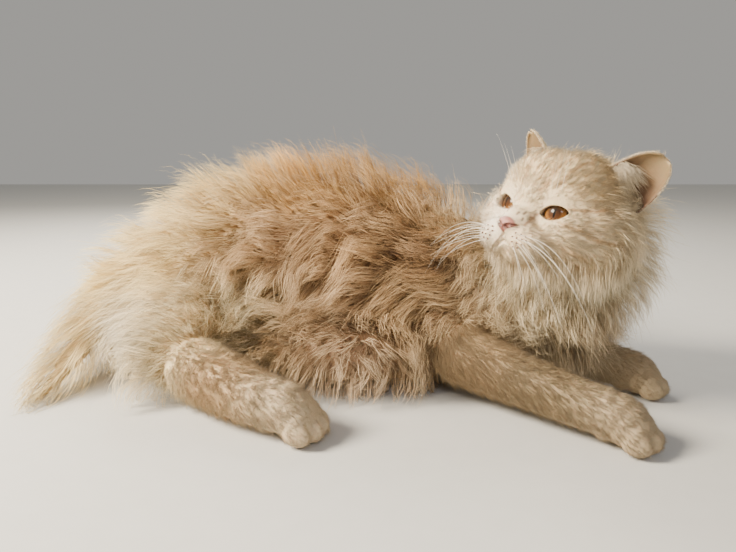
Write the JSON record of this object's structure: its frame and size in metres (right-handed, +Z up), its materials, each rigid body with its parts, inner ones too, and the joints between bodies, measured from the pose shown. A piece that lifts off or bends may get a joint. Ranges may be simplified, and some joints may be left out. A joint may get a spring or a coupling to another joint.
{
  "type": "persian cat",
  "caption": "Life-size long-haired flat-faced cat, lying on its chest with its forelegs stretched out and its head turned back over its side.",
  "frame": {"origin": "on the floor, in the middle of the flat that the belly rests on", "axes": "+X from the rump towards the chest and forepaws, -Y to the cat's right side, over which it looks, +Z up from the floor"},
  "size_m": [0.5164, 0.3723, 0.2057],
  "materials": {
    "coat_ginger": "long soft ginger-cream fur, matt",
    "coat_cream": "soft cream fur, matt",
    "short_fur": "short pale cream fur, matt",
    "ear_skin": "thin pink skin with pale hair",
    "eye": "wet amber eye"
  },
  "bodies": {
    "root": {"torso": "coat_ginger", "tail": "coat_ginger", "neck": "coat_cream", "head": "short_fur", "ear_left": "ear_skin", "ear_right": "ear_skin", "eye_left": "eye", "eye_right": "eye", "foreleg_left": "coat_cream", "foreleg_right": "coat_cream", "forepaw_left": "short_fur", "forepaw_right": "short_fur", "hindleg_left": "coat_cream", "hindleg_right": "coat_cream", "hindpaw_left": "short_fur", "hindpaw_right": "short_fur"}
  },
  "joints": []
}
